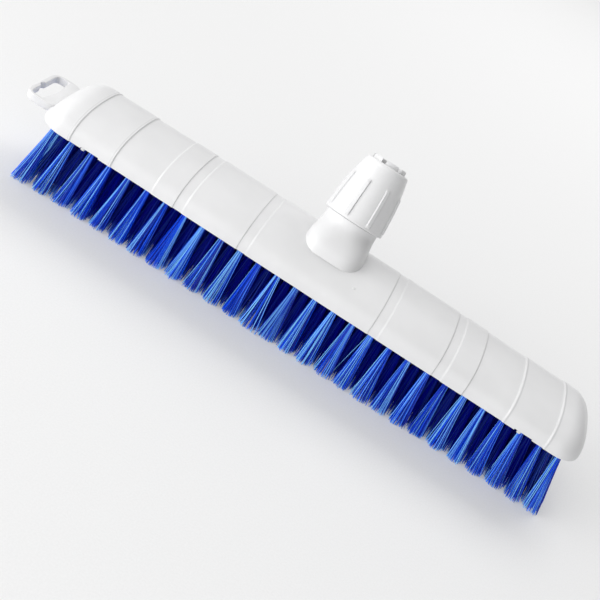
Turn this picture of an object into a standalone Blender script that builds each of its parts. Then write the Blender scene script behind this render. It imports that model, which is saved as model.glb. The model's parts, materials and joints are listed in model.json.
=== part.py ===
"""Deck scrub brush head: an arched plastic cover with a hanging loop, a slanted
handle socket with a slotted collet and a screwed locking collar, a tuft block
snapped into the cover, and nine staggered rows of blue bristle tufts.

Metres, +Z up. X runs along the head, the loop is at -X, and the socket leans
towards +Y. The bristle tips stand on Z = 0, and the origin is the bottom
centre of the bounding box.
"""

import math

import bmesh
import bpy
from mathutils import Vector

MM = 0.001

# Cover: an arched shell whose section is a superellipse
HALF_LENGTH = 199.5
HALF_WIDTH = 36.0
ARCH_HEIGHT = 18.7                   # at the ends; CROWN more in the middle
CROWN = 2.2
CROWN_REACH = 174.0
ARCH_POWER = 2.4
WALL = 2.4
STEP_RUN = 0.5                       # length over which a step rises
ARC_SEGMENTS = 20
# (half-station, level): the level holds from here outwards
LEVELS = ((0.0, 0.0), (45.0, -0.4), (51.6, 0.0), (92.0, -0.5), (98.6, 0.0),
          (114.5, -0.5), (144.5, 0.0), (174.5, 0.6))
# (half-station, share of the width, share of the height) of the rounded ends
END_TAPER = ((181.5, 1.0, 1.0), (186.5, 0.975, 0.955), (191.0, 0.93, 0.86),
             (194.5, 0.865, 0.72), (197.2, 0.77, 0.53), (198.8, 0.67, 0.36),
             (HALF_LENGTH, 0.575, 0.22))
LOOP_END_EARLY = 1.5                 # the top falls away earlier at the loop's end
PLAIN_END_LATE = 0.8
BRISTLE_LENGTH = 46.5                # from the rim of the cover to the tips
NOTCH_X = 160.0
NOTCH_LENGTH = 13.0
NOTCH_DEPTH = 1.1

# Hanging loop: a flat plate level with the rim
LOOP_OUTER_X = -218.7
LOOP_HALF_WIDTH = 20.2
LOOP_THICK = 5.2
LOOP_CORNER = 6.0
LOOP_RAIL = 3.0
LOOP_ROOT_X = -198.4                 # the plate ends inside the cover's wall here
SLOT_SIDE_RAIL = 2.6

# Socket axis: leans back from the middle of the cover
TILT = math.radians(24.0)
AXIS_START_Z = 3.5                   # above the rim, at Y = 0
BORE_RADIUS = 10.9
BORE_FLOOR = 14.0                    # distances along the axis from here on
PLUG_BOTTOM = 11.4
PLUG_RADIUS = 14.0
BOSS_TOP = 33.7
TUBE_RADIUS = 15.4
THREAD_RADIUS = 16.3
THREAD_PITCH = 4.0
THREAD_COUNT = 3
THREAD_START = 37.4
COLLET_TIP = 79.2
SLOT_COUNT = 6
SLOT_WIDTH = 3.2
SLOT_START = 56.0
SLOT_ANGLE = -20.0
LATHE_SEGMENTS = 32

# Locking collar
COLLAR_BOTTOM = 34.0
COLLAR_BORE = 16.8
COLLAR_TOP = 76.2
RIB_COUNT = 8
RIB_WIDTH = 2.4
RIB_HEIGHT = 0.95
RIB_ANGLE = 28.0
RIB_SPAN = (35.6, 63.2)

# Tuft block and tufts
BLOCK_Z = (0.5, 7.5)
BLOCK_HALF_LENGTH = 191.0
BLOCK_CORNER = 10.5
BLOCK_HALF_WIDTH = 32.6
BLOCK_TOP_INSET = (5.0, 2.0)         # the block narrows upwards by this much
TAB_PLACES = (-165.0, 157.2)         # snap tabs, one in a notch at each end
TAB_HALF_WIDTH = 1.3
TAB_REACH = (31.6, 35.2)
LUG_REACH = (31.05, 32.6)            # ties a tab to the block
TUFT_COUNT = 28
TUFT_SPAN = 187.5                    # first and last tuft of the outer rows
ROW_COUNT = 9
OUTER_ROW_Y = 28.4
TUFT_ROOT_RADIUS = 2.3
TUFT_TIP_RADIUS = 6.1
TUFT_TIP_SQUEEZE = 0.7               # a tip is narrower across the head than along it
TUFT_SIDES = 6
CHANNEL_DEPTH = 3.4
FAN_X = 8.0                          # how far the end tufts lean out at the tip
FAN_Y = 4.0
GAP = 0.3

NAME = "deck_brush_head"


# ---------- helpers ----------

def clear_file():
    for ob in list(bpy.data.objects):
        bpy.data.objects.remove(ob, do_unlink=True)


def collection(name):
    made = bpy.data.collections.new(name)
    bpy.context.scene.collection.children.link(made)
    return made


def material(name, colour, roughness, metallic=0.0):
    mat = bpy.data.materials.new(name)
    mat.use_nodes = True
    shader = mat.node_tree.nodes["Principled BSDF"]
    shader.inputs["Base Color"].default_value = (*colour, 1.0)
    shader.inputs["Roughness"].default_value = roughness
    shader.inputs["Metallic"].default_value = metallic
    return mat


def mesh_object(name, bm, into):
    bmesh.ops.recalc_face_normals(bm, faces=bm.faces)
    mesh = bpy.data.meshes.new(name)
    bm.to_mesh(mesh)
    bm.free()
    ob = bpy.data.objects.new(name, mesh)
    into.objects.link(ob)
    return ob


def loft(rings, closed=False):
    """Joins rings of equal size. Open lofts get a cap at both ends."""
    bm = bmesh.new()
    rows = [[bm.verts.new(Vector(p) * MM) for p in ring] for ring in rings]
    n = len(rows[0])
    pairs = list(zip(rows, rows[1:]))
    if closed:
        pairs.append((rows[-1], rows[0]))
    for a, b in pairs:
        for i in range(n):
            j = (i + 1) % n
            bm.faces.new((a[i], a[j], b[j], b[i]))
    if not closed:
        bm.faces.new(rows[0])
        bm.faces.new(rows[-1])
    return bm


def boolean(ob, other, operation):
    mod = ob.modifiers.new(operation.lower(), "BOOLEAN")
    mod.operation = operation
    mod.solver = "EXACT"
    mod.object = other
    bpy.context.view_layer.update()
    graph = bpy.context.evaluated_depsgraph_get()
    mesh = bpy.data.meshes.new_from_object(ob.evaluated_get(graph))
    ob.modifiers.clear()
    old = ob.data
    ob.data = mesh
    mesh.name = ob.name
    bpy.data.meshes.remove(old)


def tidy(ob, flat=False):
    bm = bmesh.new()
    bm.from_mesh(ob.data)
    bmesh.ops.remove_doubles(bm, verts=bm.verts, dist=2e-6)
    bmesh.ops.dissolve_degenerate(bm, dist=2e-6, edges=bm.edges)
    if flat:
        bmesh.ops.dissolve_limit(bm, angle_limit=math.radians(0.4),
                                 verts=bm.verts, edges=bm.edges)
    bmesh.ops.triangulate(bm, faces=bm.faces)
    bmesh.ops.recalc_face_normals(bm, faces=bm.faces)
    bm.to_mesh(ob.data)
    bm.free()


def box(name, low, high, into):
    bm = bmesh.new()
    bmesh.ops.create_cube(bm, size=1.0)
    for v in bm.verts:
        v.co = Vector([(low[i] + high[i]) / 2 + v.co[i] * (high[i] - low[i])
                       for i in range(3)]) * MM
    return mesh_object(name, bm, into)


def axis_point(along, radius=0.0, angle=0.0):
    """A point near the socket axis. Angle 0 faces -Y and grows towards +X."""
    across = radius * math.sin(angle)
    back = -radius * math.cos(angle)
    return (across,
            math.sin(TILT) * along + math.cos(TILT) * back,
            BRISTLE_LENGTH + AXIS_START_Z + math.cos(TILT) * along
            - math.sin(TILT) * back)


def axis_ring(along, radius, segments=LATHE_SEGMENTS, power=2.0, front=1.0):
    """A ring round the axis. A front over 1 stretches the half that faces -Y."""
    centre = Vector(axis_point(along))
    forward = (Vector(axis_point(along, 1.0)) - centre).normalized()
    ring = []
    for i in range(segments):
        angle = 2 * math.pi * i / segments
        c, s = abs(math.cos(angle)), abs(math.sin(angle))
        stretch = (c ** power + s ** power) ** (-1.0 / power)
        point = Vector(axis_point(along, radius * stretch, angle))
        reach = max((point - centre).dot(forward), 0.0)
        ring.append(point + forward * reach * (front - 1.0))
    return ring


# ---------- cover ----------

def level_at(x):
    found = 0.0
    for start, level in LEVELS:
        if x >= start:
            found = level
    return found


def taper_at(x):
    """Shares of the width and of the height at this distance from the middle."""
    if x <= END_TAPER[0][0]:
        return 1.0, 1.0
    for (x0, w0, h0), (x1, w1, h1) in zip(END_TAPER, END_TAPER[1:]):
        if x <= x1:
            share = (x - x0) / (x1 - x0)
            return w0 + (w1 - w0) * share, h0 + (h1 - h0) * share
    return END_TAPER[-1][1:]


def section(x, grow=0.0, level=0.0, floor=0.0, stretch=1.0):
    """One arch across the head at X, from the front rim over to the back."""
    w = taper_at(abs(x))[0]
    h = taper_at(-x + LOOP_END_EARLY if x < 0 else x - PLAIN_END_LATE)[1]
    width = HALF_WIDTH * w + level + grow
    crown = CROWN * max(1 - (x / CROWN_REACH) ** 2, 0.0)
    height = (ARCH_HEIGHT + crown) * h + level + grow
    points = []
    for i in range(ARC_SEGMENTS + 1):
        angle = math.pi * i / ARC_SEGMENTS
        c, s = math.cos(angle), math.sin(angle)
        y = -width * math.copysign(abs(c) ** (2 / ARCH_POWER), c)
        z = height * abs(s) ** (2 / ARCH_POWER)
        points.append((x * stretch, y, BRISTLE_LENGTH + z))
    if floor:
        points[0] = (points[0][0], points[0][1], BRISTLE_LENGTH + floor)
        points[-1] = (points[-1][0], points[-1][1], BRISTLE_LENGTH + floor)
    return points


def half_stations():
    found = [(0.0, 0.0)]
    for (_, before), (start, level) in zip(LEVELS, LEVELS[1:]):
        found += [(start - STEP_RUN / 2, before), (start + STEP_RUN / 2, level)]
    found += [(x, LEVELS[-1][1]) for x, _, _ in END_TAPER]
    return found


def arch_outer(name, into, grow=0.0, floor=0.0):
    half = half_stations()
    stations = [(-x, lv) for x, lv in reversed(half[1:])] + half
    return mesh_object(name, loft([section(x, grow, lv, floor) for x, lv in stations]),
                       into)


def arch_inner(name, into):
    xs = (44.0, 88.0, 131.0, 174.0, 186.5, 191.5, 195.0, 196.9)
    stations = [-x for x in reversed(xs)] + [0.0] + list(xs)
    return mesh_object(name, loft([section(x, -WALL, 0.0, -2.0) for x in stations]),
                       into)


def loop_outline():
    """Plate outline from the inside of the cover round the outer edge."""
    r, x, y = LOOP_CORNER, LOOP_OUTER_X, LOOP_HALF_WIDTH
    points = [(LOOP_ROOT_X, -y)]
    for side in (-1, 1):
        arc = [(x + r - r * math.sin(a), side * (y - r + r * math.cos(a)))
               for a in (math.radians(d) for d in (0, 22.5, 45, 67.5, 90))]
        points += arc if side < 0 else arc[::-1]
    points.append((LOOP_ROOT_X, y))
    return points


def slot_outline():
    """Hanging slot: a small notch outwards and a shallow bulge inwards."""
    x = LOOP_OUTER_X + LOOP_RAIL
    y = LOOP_HALF_WIDTH - SLOT_SIDE_RAIL
    return [(x + 1.6, -y), (x, -y + 1.6), (x, -4.6), (x - 1.2, -3.6), (x - 1.7, -1.8),
            (x - 1.2, 0.0), (x, 1.0), (x, y - 5.4), (x + 1.2, y - 2.4), (x + 4.0, y),
            (x + 8.0, y), (x + 8.8, y - 1.6), (x + 9.8, 6.0), (x + 10.4, -1.0),
            (x + 9.8, -8.0), (x + 8.8, -y + 1.6), (x + 8.0, -y)]


def prism(name, outline, z0, z1, into):
    return mesh_object(name, loft([[(x, y, z) for x, y in outline] for z in (z0, z1)]),
                       into)


def cover_shell(parts, cutters):
    rim = BRISTLE_LENGTH
    cover = arch_outer("cover_shell", parts)
    boolean(cover, arch_inner("cut_cover_inside", cutters), "DIFFERENCE")
    plate = prism("add_loop", loop_outline(), rim, rim + LOOP_THICK, cutters)
    boolean(plate, prism("cut_loop_slot", slot_outline(), rim - 5, rim + 10, cutters),
            "DIFFERENCE")
    boolean(cover, plate, "UNION")
    for side in (-1, 1):
        for face in (-1, 1):
            x = side * NOTCH_X
            cut = box("cut_notch", (x - NOTCH_LENGTH / 2, min(face * 25, face * 45), rim - 1),
                      (x + NOTCH_LENGTH / 2, max(face * 25, face * 45), rim + NOTCH_DEPTH),
                      cutters)
            boolean(cover, cut, "DIFFERENCE")
    hole = mesh_object("cut_plug_hole", loft([axis_ring(a, PLUG_RADIUS + GAP)
                                              for a in (0.0, 45.0)]), cutters)
    boolean(cover, hole, "DIFFERENCE")
    tidy(cover)
    return cover


# ---------- handle socket ----------

def tube_profile():
    """Outer radius along the axis above the boss, with thread ridges."""
    points = [(BOSS_TOP - 4.0, TUBE_RADIUS)]
    for i in range(THREAD_COUNT):
        a = THREAD_START + i * THREAD_PITCH
        points += [(a, TUBE_RADIUS), (a + 0.7, THREAD_RADIUS),
                   (a + 1.3, THREAD_RADIUS), (a + 2.0, TUBE_RADIUS)]
    points += [(51.5, TUBE_RADIUS), (54.0, 14.5), (75.6, 12.3), (76.6, 12.1),
               (COLLET_TIP - 1.0, 12.0), (COLLET_TIP, 11.6)]
    return points


def handle_socket(parts, cutters):
    boss_rings = ((4.0, 21.3, 3.4, 1.16), (14.0, 21.3, 3.4, 1.12), (19.0, 20.7, 3.0, 1.06),
                  (24.0, 19.7, 2.5, 1.02), (29.0, 18.9, 2.15, 1.0),
                  (33.2, 18.6, 2.0, 1.0), (BOSS_TOP, 18.3, 2.0, 1.0))
    boss = mesh_object("handle_socket", loft([axis_ring(a, r, power=p, front=f)
                                              for a, r, p, f in boss_rings]), parts)
    boolean(boss, arch_outer("cut_boss_saddle", cutters, grow=GAP, floor=-40.0),
            "DIFFERENCE")
    plug = mesh_object("add_plug", loft([axis_ring(a, PLUG_RADIUS)
                                         for a in (PLUG_BOTTOM, BOSS_TOP - 3.0)]), cutters)
    boolean(boss, plug, "UNION")
    tube = mesh_object("add_tube", loft([axis_ring(a, r) for a, r in tube_profile()]),
                       cutters)
    boolean(boss, tube, "UNION")
    bore = mesh_object("cut_bore", loft([axis_ring(a, r) for a, r in
                                         ((BORE_FLOOR, BORE_RADIUS),
                                          (COLLET_TIP - 0.8, BORE_RADIUS),
                                          (COLLET_TIP + 3.0, BORE_RADIUS + 2.8))]), cutters)
    boolean(boss, bore, "DIFFERENCE")
    for i in range(SLOT_COUNT):
        angle = math.radians(SLOT_ANGLE + 360.0 * i / SLOT_COUNT)
        rings = []
        for along in (SLOT_START, COLLET_TIP + 3.0):
            ring = []
            for radius, side in ((6.0, -1), (20.0, -1), (20.0, 1), (6.0, 1)):
                turn = side * math.asin(SLOT_WIDTH / 2 / radius)
                ring.append(axis_point(along, radius, angle + turn))
            rings.append(ring)
        boolean(boss, mesh_object("cut_slot", loft(rings), cutters), "DIFFERENCE")
    tidy(boss)
    return boss


# ---------- locking collar ----------

def collar_profile():
    """Closed profile (along, radius, takes a rib) from the bottom rim outside."""
    outer = [(COLLAR_BOTTOM, 20.3, False), (COLLAR_BOTTOM + 0.6, 21.0, False),
             (RIB_SPAN[0] - 0.2, 20.95, False), (RIB_SPAN[0] + 0.2, 20.9, True),
             (46.0, 20.2, True), (55.0, 19.35, True), (RIB_SPAN[1] - 0.4, 18.2, True),
             (RIB_SPAN[1] + 0.2, 18.1, False), (69.0, 17.0, False),
             (74.2, 15.7, False), (75.6, 15.0, False), (COLLAR_TOP, 14.2, False)]
    inner = [(COLLAR_TOP, 13.1, False), (75.4, 12.85, False), (54.2, 14.85, False),
             (50.0, COLLAR_BORE, False)]
    for i in reversed(range(THREAD_COUNT)):
        a = THREAD_START + (i + 0.5) * THREAD_PITCH
        inner += [(a + 1.9, COLLAR_BORE, False), (a + 1.3, 15.8, False),
                  (a + 0.7, 15.8, False), (a + 0.1, COLLAR_BORE, False)]
    inner.append((COLLAR_BOTTOM, COLLAR_BORE, False))
    return outer + inner


def locking_collar(parts):
    rings = []
    for i in range(RIB_COUNT):
        centre = RIB_ANGLE + 360.0 * i / RIB_COUNT
        half = math.degrees(RIB_WIDTH / 2 / 19.0)
        columns = ((-half - 0.9, 0.0), (-half, RIB_HEIGHT), (half, RIB_HEIGHT),
                   (half + 0.9, 0.0), (16.5, 0.0), (28.5, 0.0))
        for offset, rise in columns:
            angle = math.radians(centre + offset)
            rings.append([axis_point(a, r + (rise if rib else 0.0), angle)
                          for a, r, rib in collar_profile()])
    collar = mesh_object("locking_collar", loft(rings, closed=True), parts)
    tidy(collar)
    return collar


# ---------- tuft block and tufts ----------

def plan_outline(half_x, half_y, corner):
    points = []
    for sx, sy, start in ((1, 1, 0), (-1, 1, 90), (-1, -1, 180), (1, -1, 270)):
        for d in (0, 22.5, 45, 67.5, 90):
            a = math.radians(start + d)
            points.append((sx * (half_x - corner) + corner * math.cos(a),
                           sy * (half_y - corner) + corner * math.sin(a)))
    return points


def tuft_block(parts, cutters):
    rim = BRISTLE_LENGTH
    low, high = rim + BLOCK_Z[0], rim + BLOCK_Z[1]
    base = plan_outline(BLOCK_HALF_LENGTH, BLOCK_HALF_WIDTH, BLOCK_CORNER)
    top = plan_outline(BLOCK_HALF_LENGTH - BLOCK_TOP_INSET[0],
                       BLOCK_HALF_WIDTH - BLOCK_TOP_INSET[1], BLOCK_CORNER)
    block = mesh_object("tuft_block", loft([[(x, y, low) for x, y in base],
                                            [(x, y, high) for x, y in top]]), parts)
    for y in row_places():
        reach = TUFT_SPAN + TUFT_ROOT_RADIUS + GAP
        half = TUFT_ROOT_RADIUS + GAP
        boolean(block, box("cut_channel", (-reach, y - half, low - 1),
                           (reach, y + half, low + CHANNEL_DEPTH + GAP), cutters),
                "DIFFERENCE")
    for tab_x in TAB_PLACES:
        for face in (-1, 1):
            tab_y = sorted(face * reach for reach in TAB_REACH)
            lug_y = sorted(face * reach for reach in LUG_REACH)
            tab = box("add_tab", (tab_x - TAB_HALF_WIDTH, tab_y[0], rim - 1.5),
                      (tab_x + TAB_HALF_WIDTH, tab_y[1], rim + NOTCH_DEPTH - GAP), cutters)
            lug = box("add_lug", (tab_x - TAB_HALF_WIDTH, lug_y[0], low),
                      (tab_x + TAB_HALF_WIDTH, lug_y[1], rim + 1.4), cutters)
            boolean(tab, lug, "UNION")
            boolean(block, tab, "UNION")
    tidy(block, flat=True)
    return block


def row_places():
    step = 2 * OUTER_ROW_Y / (ROW_COUNT - 1)
    return [-OUTER_ROW_Y + step * i for i in range(ROW_COUNT)]


def tuft_places(row):
    pitch = 2 * TUFT_SPAN / (TUFT_COUNT - 1)
    if row % 2:
        return [-TUFT_SPAN + pitch * (i + 0.5) for i in range(TUFT_COUNT - 1)]
    return [-TUFT_SPAN + pitch * i for i in range(TUFT_COUNT)]


def tuft_row(row, parts, cutters):
    y = row_places()[row]
    root_z = BRISTLE_LENGTH + BLOCK_Z[0] + CHANNEL_DEPTH
    joined = bmesh.new()
    for x in tuft_places(row):
        lean_x = FAN_X * math.copysign(abs(x / TUFT_SPAN) ** 1.3, x)
        lean_y = FAN_Y * y / OUTER_ROW_Y
        rings = []
        for z, radius, squeeze, share in (
                (root_z - 1.0, TUFT_ROOT_RADIUS, 1.0, 0.0),
                (BRISTLE_LENGTH - 2.0, TUFT_ROOT_RADIUS, 1.0, 0.05),
                (0.0, TUFT_TIP_RADIUS, TUFT_TIP_SQUEEZE, 1.0)):
            ring = []
            for i in range(TUFT_SIDES):
                angle = 2 * math.pi * i / TUFT_SIDES
                point = Vector((x + lean_x * share + radius * math.cos(angle),
                                y + lean_y * share + radius * squeeze * math.sin(angle), z))
                ring.append(joined.verts.new(point * MM))
            rings.append(ring)
        for a, b in zip(rings, rings[1:]):
            for i in range(TUFT_SIDES):
                j = (i + 1) % TUFT_SIDES
                joined.faces.new((a[i], b[i], b[j], a[j]))
        joined.faces.new(rings[0])
        joined.faces.new(rings[-1])
    name = f"tuft_row_{row + 1}"
    tufts = mesh_object(name, joined, parts)
    reach = tuft_places(row)[-1] + TUFT_ROOT_RADIUS
    bar = box("add_root_bar", (-reach, y - TUFT_ROOT_RADIUS, BRISTLE_LENGTH + 1.2),
              (reach, y + TUFT_ROOT_RADIUS, root_z), cutters)
    boolean(tufts, bar, "UNION")
    tidy(tufts, flat=True)
    return tufts


# ---------- assembly ----------

def recentre(objects):
    """Puts the bottom centre of the whole bounding box at the origin."""
    low = [min(v.co[i] for ob in objects for v in ob.data.vertices) for i in range(3)]
    high = [max(v.co[i] for ob in objects for v in ob.data.vertices) for i in range(3)]
    shift = Vector((-(low[0] + high[0]) / 2, -(low[1] + high[1]) / 2, -low[2]))
    for ob in objects:
        for v in ob.data.vertices:
            v.co += shift
    return shift


def set_origin(ob, point):
    for v in ob.data.vertices:
        v.co -= point
    ob.location = point


def build():
    clear_file()
    parts = collection(NAME)
    cutters = collection("cutters")
    white = material("cover_plastic", (0.86, 0.87, 0.87), 0.22)
    socket_white = material("socket_plastic", (0.84, 0.85, 0.85), 0.25)
    collar_white = material("collar_plastic", (0.80, 0.81, 0.82), 0.28)
    block_white = material("block_plastic", (0.82, 0.83, 0.82), 0.35)
    blue = material("bristle_blue", (0.02, 0.10, 0.62), 0.4)

    cover = cover_shell(parts, cutters)
    socket = handle_socket(parts, cutters)
    collar = locking_collar(parts)
    block = tuft_block(parts, cutters)
    rows = [tuft_row(i, parts, cutters) for i in range(ROW_COUNT)]
    for ob, mat in ((cover, white), (socket, socket_white), (collar, collar_white),
                    (block, block_white), *((row, blue) for row in rows)):
        ob.data.materials.clear()
        ob.data.materials.append(mat)
        for face in ob.data.polygons:
            face.material_index = 0
    shift = recentre([cover, socket, collar, block, *rows])
    set_origin(collar, Vector(axis_point(COLLAR_BOTTOM)) * MM + shift)
    for ob in cutters.objects:
        ob.hide_render = True
        ob.hide_viewport = True
        ob.display_type = "WIRE"
    print("shift_mm", [round(v * 1000, 3) for v in shift])
    print("collar_pivot_m", [round(v, 6) for v in collar.location])
    for ob in parts.objects:
        print(ob.name, len(ob.data.polygons))


build()
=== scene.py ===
"""Deck scrub brush head: glossy white arched cover with a hanging loop, a
slanted handle socket with a ribbed locking collar, and flared blue bristles.

Lengths are in millimetres and angles in degrees, until they meet MM or radians.
X, Y and Z start at the middle of the cover's rim: the loop is at the -X end, the
front is at -Y, and the bristles reach down to the floor."""

import json
import math

import bmesh
import bpy
import numpy as np
from mathutils import Matrix, Vector


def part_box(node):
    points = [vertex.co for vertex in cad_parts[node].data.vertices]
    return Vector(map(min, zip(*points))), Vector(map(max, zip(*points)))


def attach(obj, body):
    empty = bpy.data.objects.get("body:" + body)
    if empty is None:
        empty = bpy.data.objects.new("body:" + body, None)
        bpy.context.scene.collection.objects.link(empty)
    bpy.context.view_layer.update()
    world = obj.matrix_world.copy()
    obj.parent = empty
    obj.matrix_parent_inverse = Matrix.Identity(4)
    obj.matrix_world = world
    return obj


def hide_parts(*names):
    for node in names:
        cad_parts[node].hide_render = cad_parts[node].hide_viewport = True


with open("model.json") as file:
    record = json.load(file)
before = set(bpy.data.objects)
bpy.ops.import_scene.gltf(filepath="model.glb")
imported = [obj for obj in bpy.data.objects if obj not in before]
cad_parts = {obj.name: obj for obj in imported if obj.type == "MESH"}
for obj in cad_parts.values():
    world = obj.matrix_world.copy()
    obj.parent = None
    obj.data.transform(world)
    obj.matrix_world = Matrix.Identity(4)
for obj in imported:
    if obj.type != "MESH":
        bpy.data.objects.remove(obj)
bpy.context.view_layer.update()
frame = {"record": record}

MM = 0.001

# ---------- the frame's own measures ----------

COVER_LOW, COVER_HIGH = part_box("cover_shell")
ROW_COUNT = 9
ROW_BOXES = [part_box(f"tuft_row_{i + 1}") for i in range(ROW_COUNT)]
BLOCK_LOW, BLOCK_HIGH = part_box("tuft_block")
CENTRE_X = (ROW_BOXES[0][0][0] + ROW_BOXES[0][1][0]) / 2
CENTRE_Y = (COVER_LOW[1] + COVER_HIGH[1]) / 2
RIM_Z = COVER_LOW[2]
END_LEVEL = 0.6                      # relief of the end caps
HALF_LENGTH = (COVER_HIGH[0] - CENTRE_X) / MM
HALF_WIDTH = (COVER_HIGH[1] - COVER_LOW[1]) / 2 / MM - END_LEVEL
CROWN, CROWN_REACH = 2.2, 174.0      # extra height of the arch at mid-length
ARCH_HEIGHT = (COVER_HIGH[2] - RIM_Z) / MM - CROWN
BRISTLE_LENGTH = RIM_Z / MM
LOOP_END_X = (COVER_LOW[0] - CENTRE_X) / MM
BLOCK_HALF_LENGTH = (BLOCK_HIGH[0] - BLOCK_LOW[0]) / 2 / MM
BLOCK_TOP = (BLOCK_HIGH[2] - RIM_Z) / MM
TAB_BOTTOM = (BLOCK_LOW[2] - RIM_Z) / MM
TAB_REACH = (BLOCK_HIGH[1] - BLOCK_LOW[1]) / 2 / MM
JOINT = frame["record"]["behaviour"]["joints"][0]
AXIS = Vector(JOINT["axis"]).normalized()
COLLAR_START = 34.0                  # the joint's place along the socket axis
AXIS_START = Vector(JOINT["pos_m"]) - AXIS * COLLAR_START * MM
ACROSS = Vector((1.0, 0.0, 0.0))
BACK = AXIS.cross(ACROSS)


def smooth(t):
    t = min(max(t, 0.0), 1.0)
    return t * t * (3 - 2 * t)


def bell(distance, spread):
    return math.exp(-(distance / spread) ** 2)


def local(x, y, z):
    """Millimetres from the middle of the cover's rim to frame metres."""
    return Vector((CENTRE_X + x * MM, CENTRE_Y + y * MM, RIM_Z + z * MM))


def axis_point(along, radius, angle):
    """Near the socket axis: angle 0 faces the front and grows towards +X."""
    return (AXIS_START + AXIS * along * MM + ACROSS * (radius * math.sin(angle) * MM)
            - BACK * (radius * math.cos(angle) * MM))


# ---------- mesh helpers ----------

CORNER_SHARE = 0.45                  # the most of a side that one rounded corner takes


def link(name, mesh):
    ob = bpy.data.objects.new(name, mesh)
    bpy.context.scene.collection.objects.link(ob)
    return ob


def mesh_object(name, bm):
    bmesh.ops.recalc_face_normals(bm, faces=bm.faces)
    mesh = bpy.data.meshes.new(name)
    bm.to_mesh(mesh)
    bm.free()
    return link(name, mesh)


def add_band(bm, lower, upper):
    """Faces between two rings of vertices."""
    n = len(lower)
    for i in range(n):
        j = (i + 1) % n
        bm.faces.new((lower[i], lower[j], upper[j], upper[i]))


def loft(rings, closed=False):
    """A skin over the rings, with caps, or joined end to start where it's closed."""
    bm = bmesh.new()
    rows = [[bm.verts.new(p) for p in ring] for ring in rings]
    for lower, upper in zip(rows, rows[1:]):
        add_band(bm, lower, upper)
    if closed:
        add_band(bm, rows[-1], rows[0])
    else:
        bm.faces.new(rows[0])
        bm.faces.new(rows[-1])
    return bm


def apply_modifiers(ob):
    bpy.context.view_layer.update()
    graph = bpy.context.evaluated_depsgraph_get()
    mesh = bpy.data.meshes.new_from_object(ob.evaluated_get(graph))
    ob.modifiers.clear()
    old, ob.data = ob.data, mesh
    bpy.data.meshes.remove(old)


def boolean(ob, other, operation):
    mod = ob.modifiers.new(operation, "BOOLEAN")
    mod.operation, mod.solver, mod.object = operation, "EXACT", other
    apply_modifiers(ob)
    mesh = other.data
    bpy.data.objects.remove(other)
    bpy.data.meshes.remove(mesh)


def bevel(ob, width, segments, angle):
    mod = ob.modifiers.new("edge", "BEVEL")
    mod.width, mod.segments = width * MM, segments
    mod.limit_method, mod.angle_limit = "ANGLE", math.radians(angle)
    mod.miter_outer = "MITER_ARC"
    apply_modifiers(ob)


def shade(ob, angle):
    """Smooth shading, with edges sharper than the angle kept."""
    ob.data.polygons.foreach_set("use_smooth", [True] * len(ob.data.polygons))
    ob.data.set_sharp_from_angle(angle=math.radians(angle))


def paint(mesh, name, values):
    """Stores a number for each vertex, which a material reads."""
    mesh.attributes.new(name, "FLOAT", "POINT").data.foreach_set("value", values)


def box(name, low, high):
    bm = bmesh.new()
    bmesh.ops.create_cube(bm, size=1.0)
    for v in bm.verts:
        v.co = local(*((low[i] + high[i]) / 2 + v.co[i] * (high[i] - low[i])
                       for i in range(3)))
    return mesh_object(name, bm)


def side_box(name, x, half_width, face, near, far, low, high):
    """A box about X that reaches from near to far at the front (face -1) or the back."""
    y0, y1 = sorted((face * near, face * far))
    return box(name, (x - half_width, y0, low), (x + half_width, y1, high))


def rectangle(x0, x1, y):
    return [(x0, -y), (x1, -y), (x1, y), (x0, y)]


def rounded(points, radius, steps):
    """Rounds each corner of a closed outline of (x, y)."""
    out = []
    n = len(points)
    for i, p in enumerate(points):
        p = Vector(p)
        a, b = Vector(points[i - 1]) - p, Vector(points[(i + 1) % n]) - p
        r = min(radius, a.length * CORNER_SHARE, b.length * CORNER_SHARE)
        start, end = p + a.normalized() * r, p + b.normalized() * r
        for k in range(steps + 1):
            t = k / steps
            q = start * (1 - t) ** 2 + p * 2 * t * (1 - t) + end * t * t
            out.append((q.x, q.y))
    return out


def flat_ring(outline, z):
    return [local(x, y, z) for x, y in outline]


def prism(name, outline, z0, z1):
    return mesh_object(name, loft([flat_ring(outline, z) for z in (z0, z1)]))


def finish_piece(ob, mat, slot, *nodes, body="head"):
    ob.data.materials.clear()
    ob.data.materials.append(mat)
    ob.data.polygons.foreach_set("material_index", [0] * len(ob.data.polygons))
    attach(ob, body)
    if nodes:
        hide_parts(*nodes)


# ---------- materials ----------

# Each plastic: its lighter and darker tone, and its roughness from and to.
PLASTICS = {
    "cover": ((0.75, 0.75, 0.755), (0.715, 0.715, 0.72), 0.34, 0.41),
    "socket": ((0.75, 0.75, 0.755), (0.72, 0.72, 0.725), 0.30, 0.37),
    "collar": ((0.77, 0.77, 0.775), (0.74, 0.74, 0.745), 0.28, 0.36),
    "block": ((0.70, 0.71, 0.70), (0.66, 0.67, 0.67), 0.34, 0.48),
}
# Grey of the painted shade at the cover's steps and the collar's ribs.
PAINTED_SHADE_COLOUR = (0.40, 0.405, 0.41)
# How fine each texture is, in features a metre, and how it's stretched.
MOTTLE_SCALE, SCUFF_SCALE, WAVE_SCALE, GRAIN_SCALE = 38.0, 420.0, 60.0, 2600.0
STREAK_SCALE, PAPER_SCALE = 900.0, 900.0
SCUFF_STRETCH, WAVE_STRETCH = (0.25, 1.0, 1.0), (0.5, 1.0, 1.0)
STREAK_STRETCH = (1.0, 1.0, 0.05)    # along the filaments
# Strength and distance in metres of the bumps.
WAVE_BUMP, GRAIN_BUMP = (0.035, 0.0015), (0.03, 0.0002)

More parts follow.
